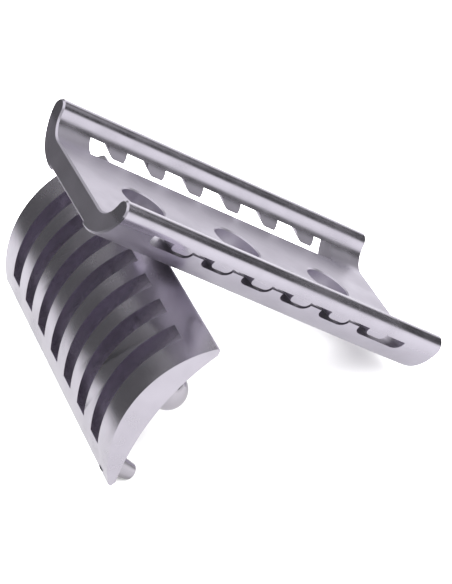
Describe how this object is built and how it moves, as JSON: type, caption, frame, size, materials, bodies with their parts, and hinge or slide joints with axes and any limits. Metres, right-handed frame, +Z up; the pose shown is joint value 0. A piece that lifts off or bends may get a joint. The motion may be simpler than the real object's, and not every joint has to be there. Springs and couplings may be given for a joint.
{
  "type": "safety razor head",
  "caption": "Head of a double-edge safety razor taken apart: a curved, slotted cap with stud and pins, and a base plate with raised rails leaning on it.",
  "frame": {"origin": "middle of the footprint, on the surface that both pieces rest on", "axes": "+Z up, +Y along the cap's long edges, +X towards the base plate's lower end"},
  "size_m": [0.0418, 0.043, 0.0272],
  "materials": {
    "cap_steel": "satin",
    "stud_steel": "machined",
    "pin_steel": "polished",
    "plate_steel": "satin"
  },
  "bodies": {
    "cap_assembly": {"cap": "cap_steel", "threaded_stud": "stud_steel", "alignment_pin_near": "pin_steel", "alignment_pin_far": "pin_steel", "corner_peg_near": "pin_steel", "corner_peg_far": "pin_steel"},
    "plate": {"base_plate": "plate_steel"}
  },
  "joints": [
    {"name": "base_plate_lift", "type": "slide", "parent": "cap_assembly", "child": "plate", "axis": [0, 0, 1], "range_m": [0, 0.03]}
  ]
}
